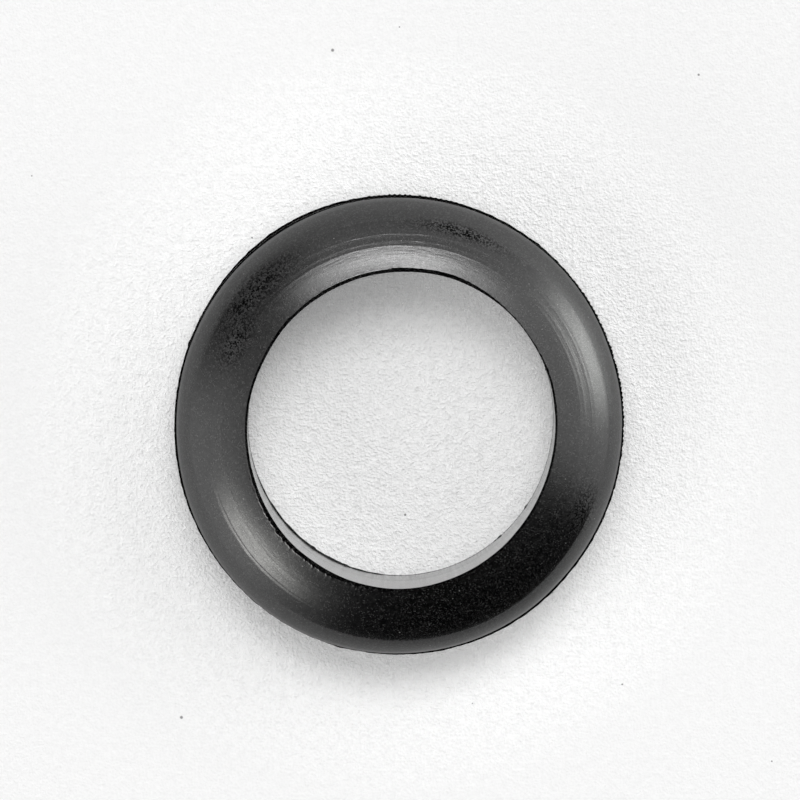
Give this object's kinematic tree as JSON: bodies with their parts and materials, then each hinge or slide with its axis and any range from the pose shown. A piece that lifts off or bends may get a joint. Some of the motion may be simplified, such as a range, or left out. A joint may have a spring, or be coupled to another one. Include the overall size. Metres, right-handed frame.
{
  "type": "rubber grommet",
  "caption": "Round double-flange rubber grommet with domed end faces, a panel groove around its middle and a smooth cable bore.",
  "frame": {"origin": "on the bore's axis, at the plane of the lower end that the ring rests on", "axes": "+Z along the bore's axis, from the lower flange to the upper flange; X and Y are interchangeable, because the section is the same all round"},
  "size_m": [0.038, 0.038, 0.012],
  "materials": {
    "rubber": "semi-gloss moulded black rubber with fine concentric tool marks and a little dust"
  },
  "bodies": {
    "root": {"grommet": "rubber"}
  },
  "joints": []
}
